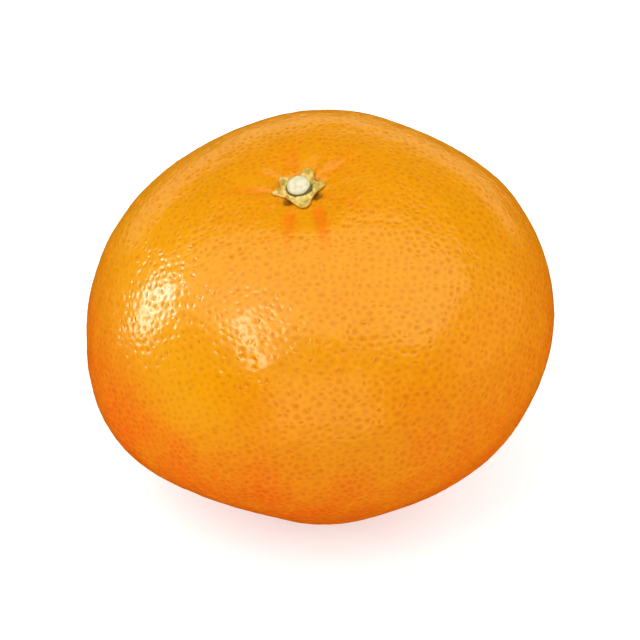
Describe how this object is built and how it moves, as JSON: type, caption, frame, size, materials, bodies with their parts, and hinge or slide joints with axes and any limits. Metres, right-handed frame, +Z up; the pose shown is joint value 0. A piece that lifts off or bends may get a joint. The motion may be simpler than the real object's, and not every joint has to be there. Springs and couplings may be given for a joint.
{
  "type": "setoka mandarin",
  "caption": "Broad, low, glossy orange mandarin as picked, with fine pitted peel, short furrows round the stem, a dried star-shaped calyx and a cut stalk stub.",
  "frame": {"origin": "middle of the fruit's outline seen from above, on the surface that the fruit rests on", "axes": "+Z up; the picture's camera stands on the -Y side, with +X to its right, and the stem end leans towards -X"},
  "size_m": [0.084, 0.0832, 0.0646],
  "materials": {
    "peel": "glossy waxy citrus peel with fine pits",
    "calyx": "dry, dull, pale yellow-green",
    "stalk": "dry cut wood, off-white face with a grey-green rim"
  },
  "bodies": {
    "root": {"fruit": "peel", "calyx": "calyx", "stem_stub": "stalk"}
  },
  "joints": []
}
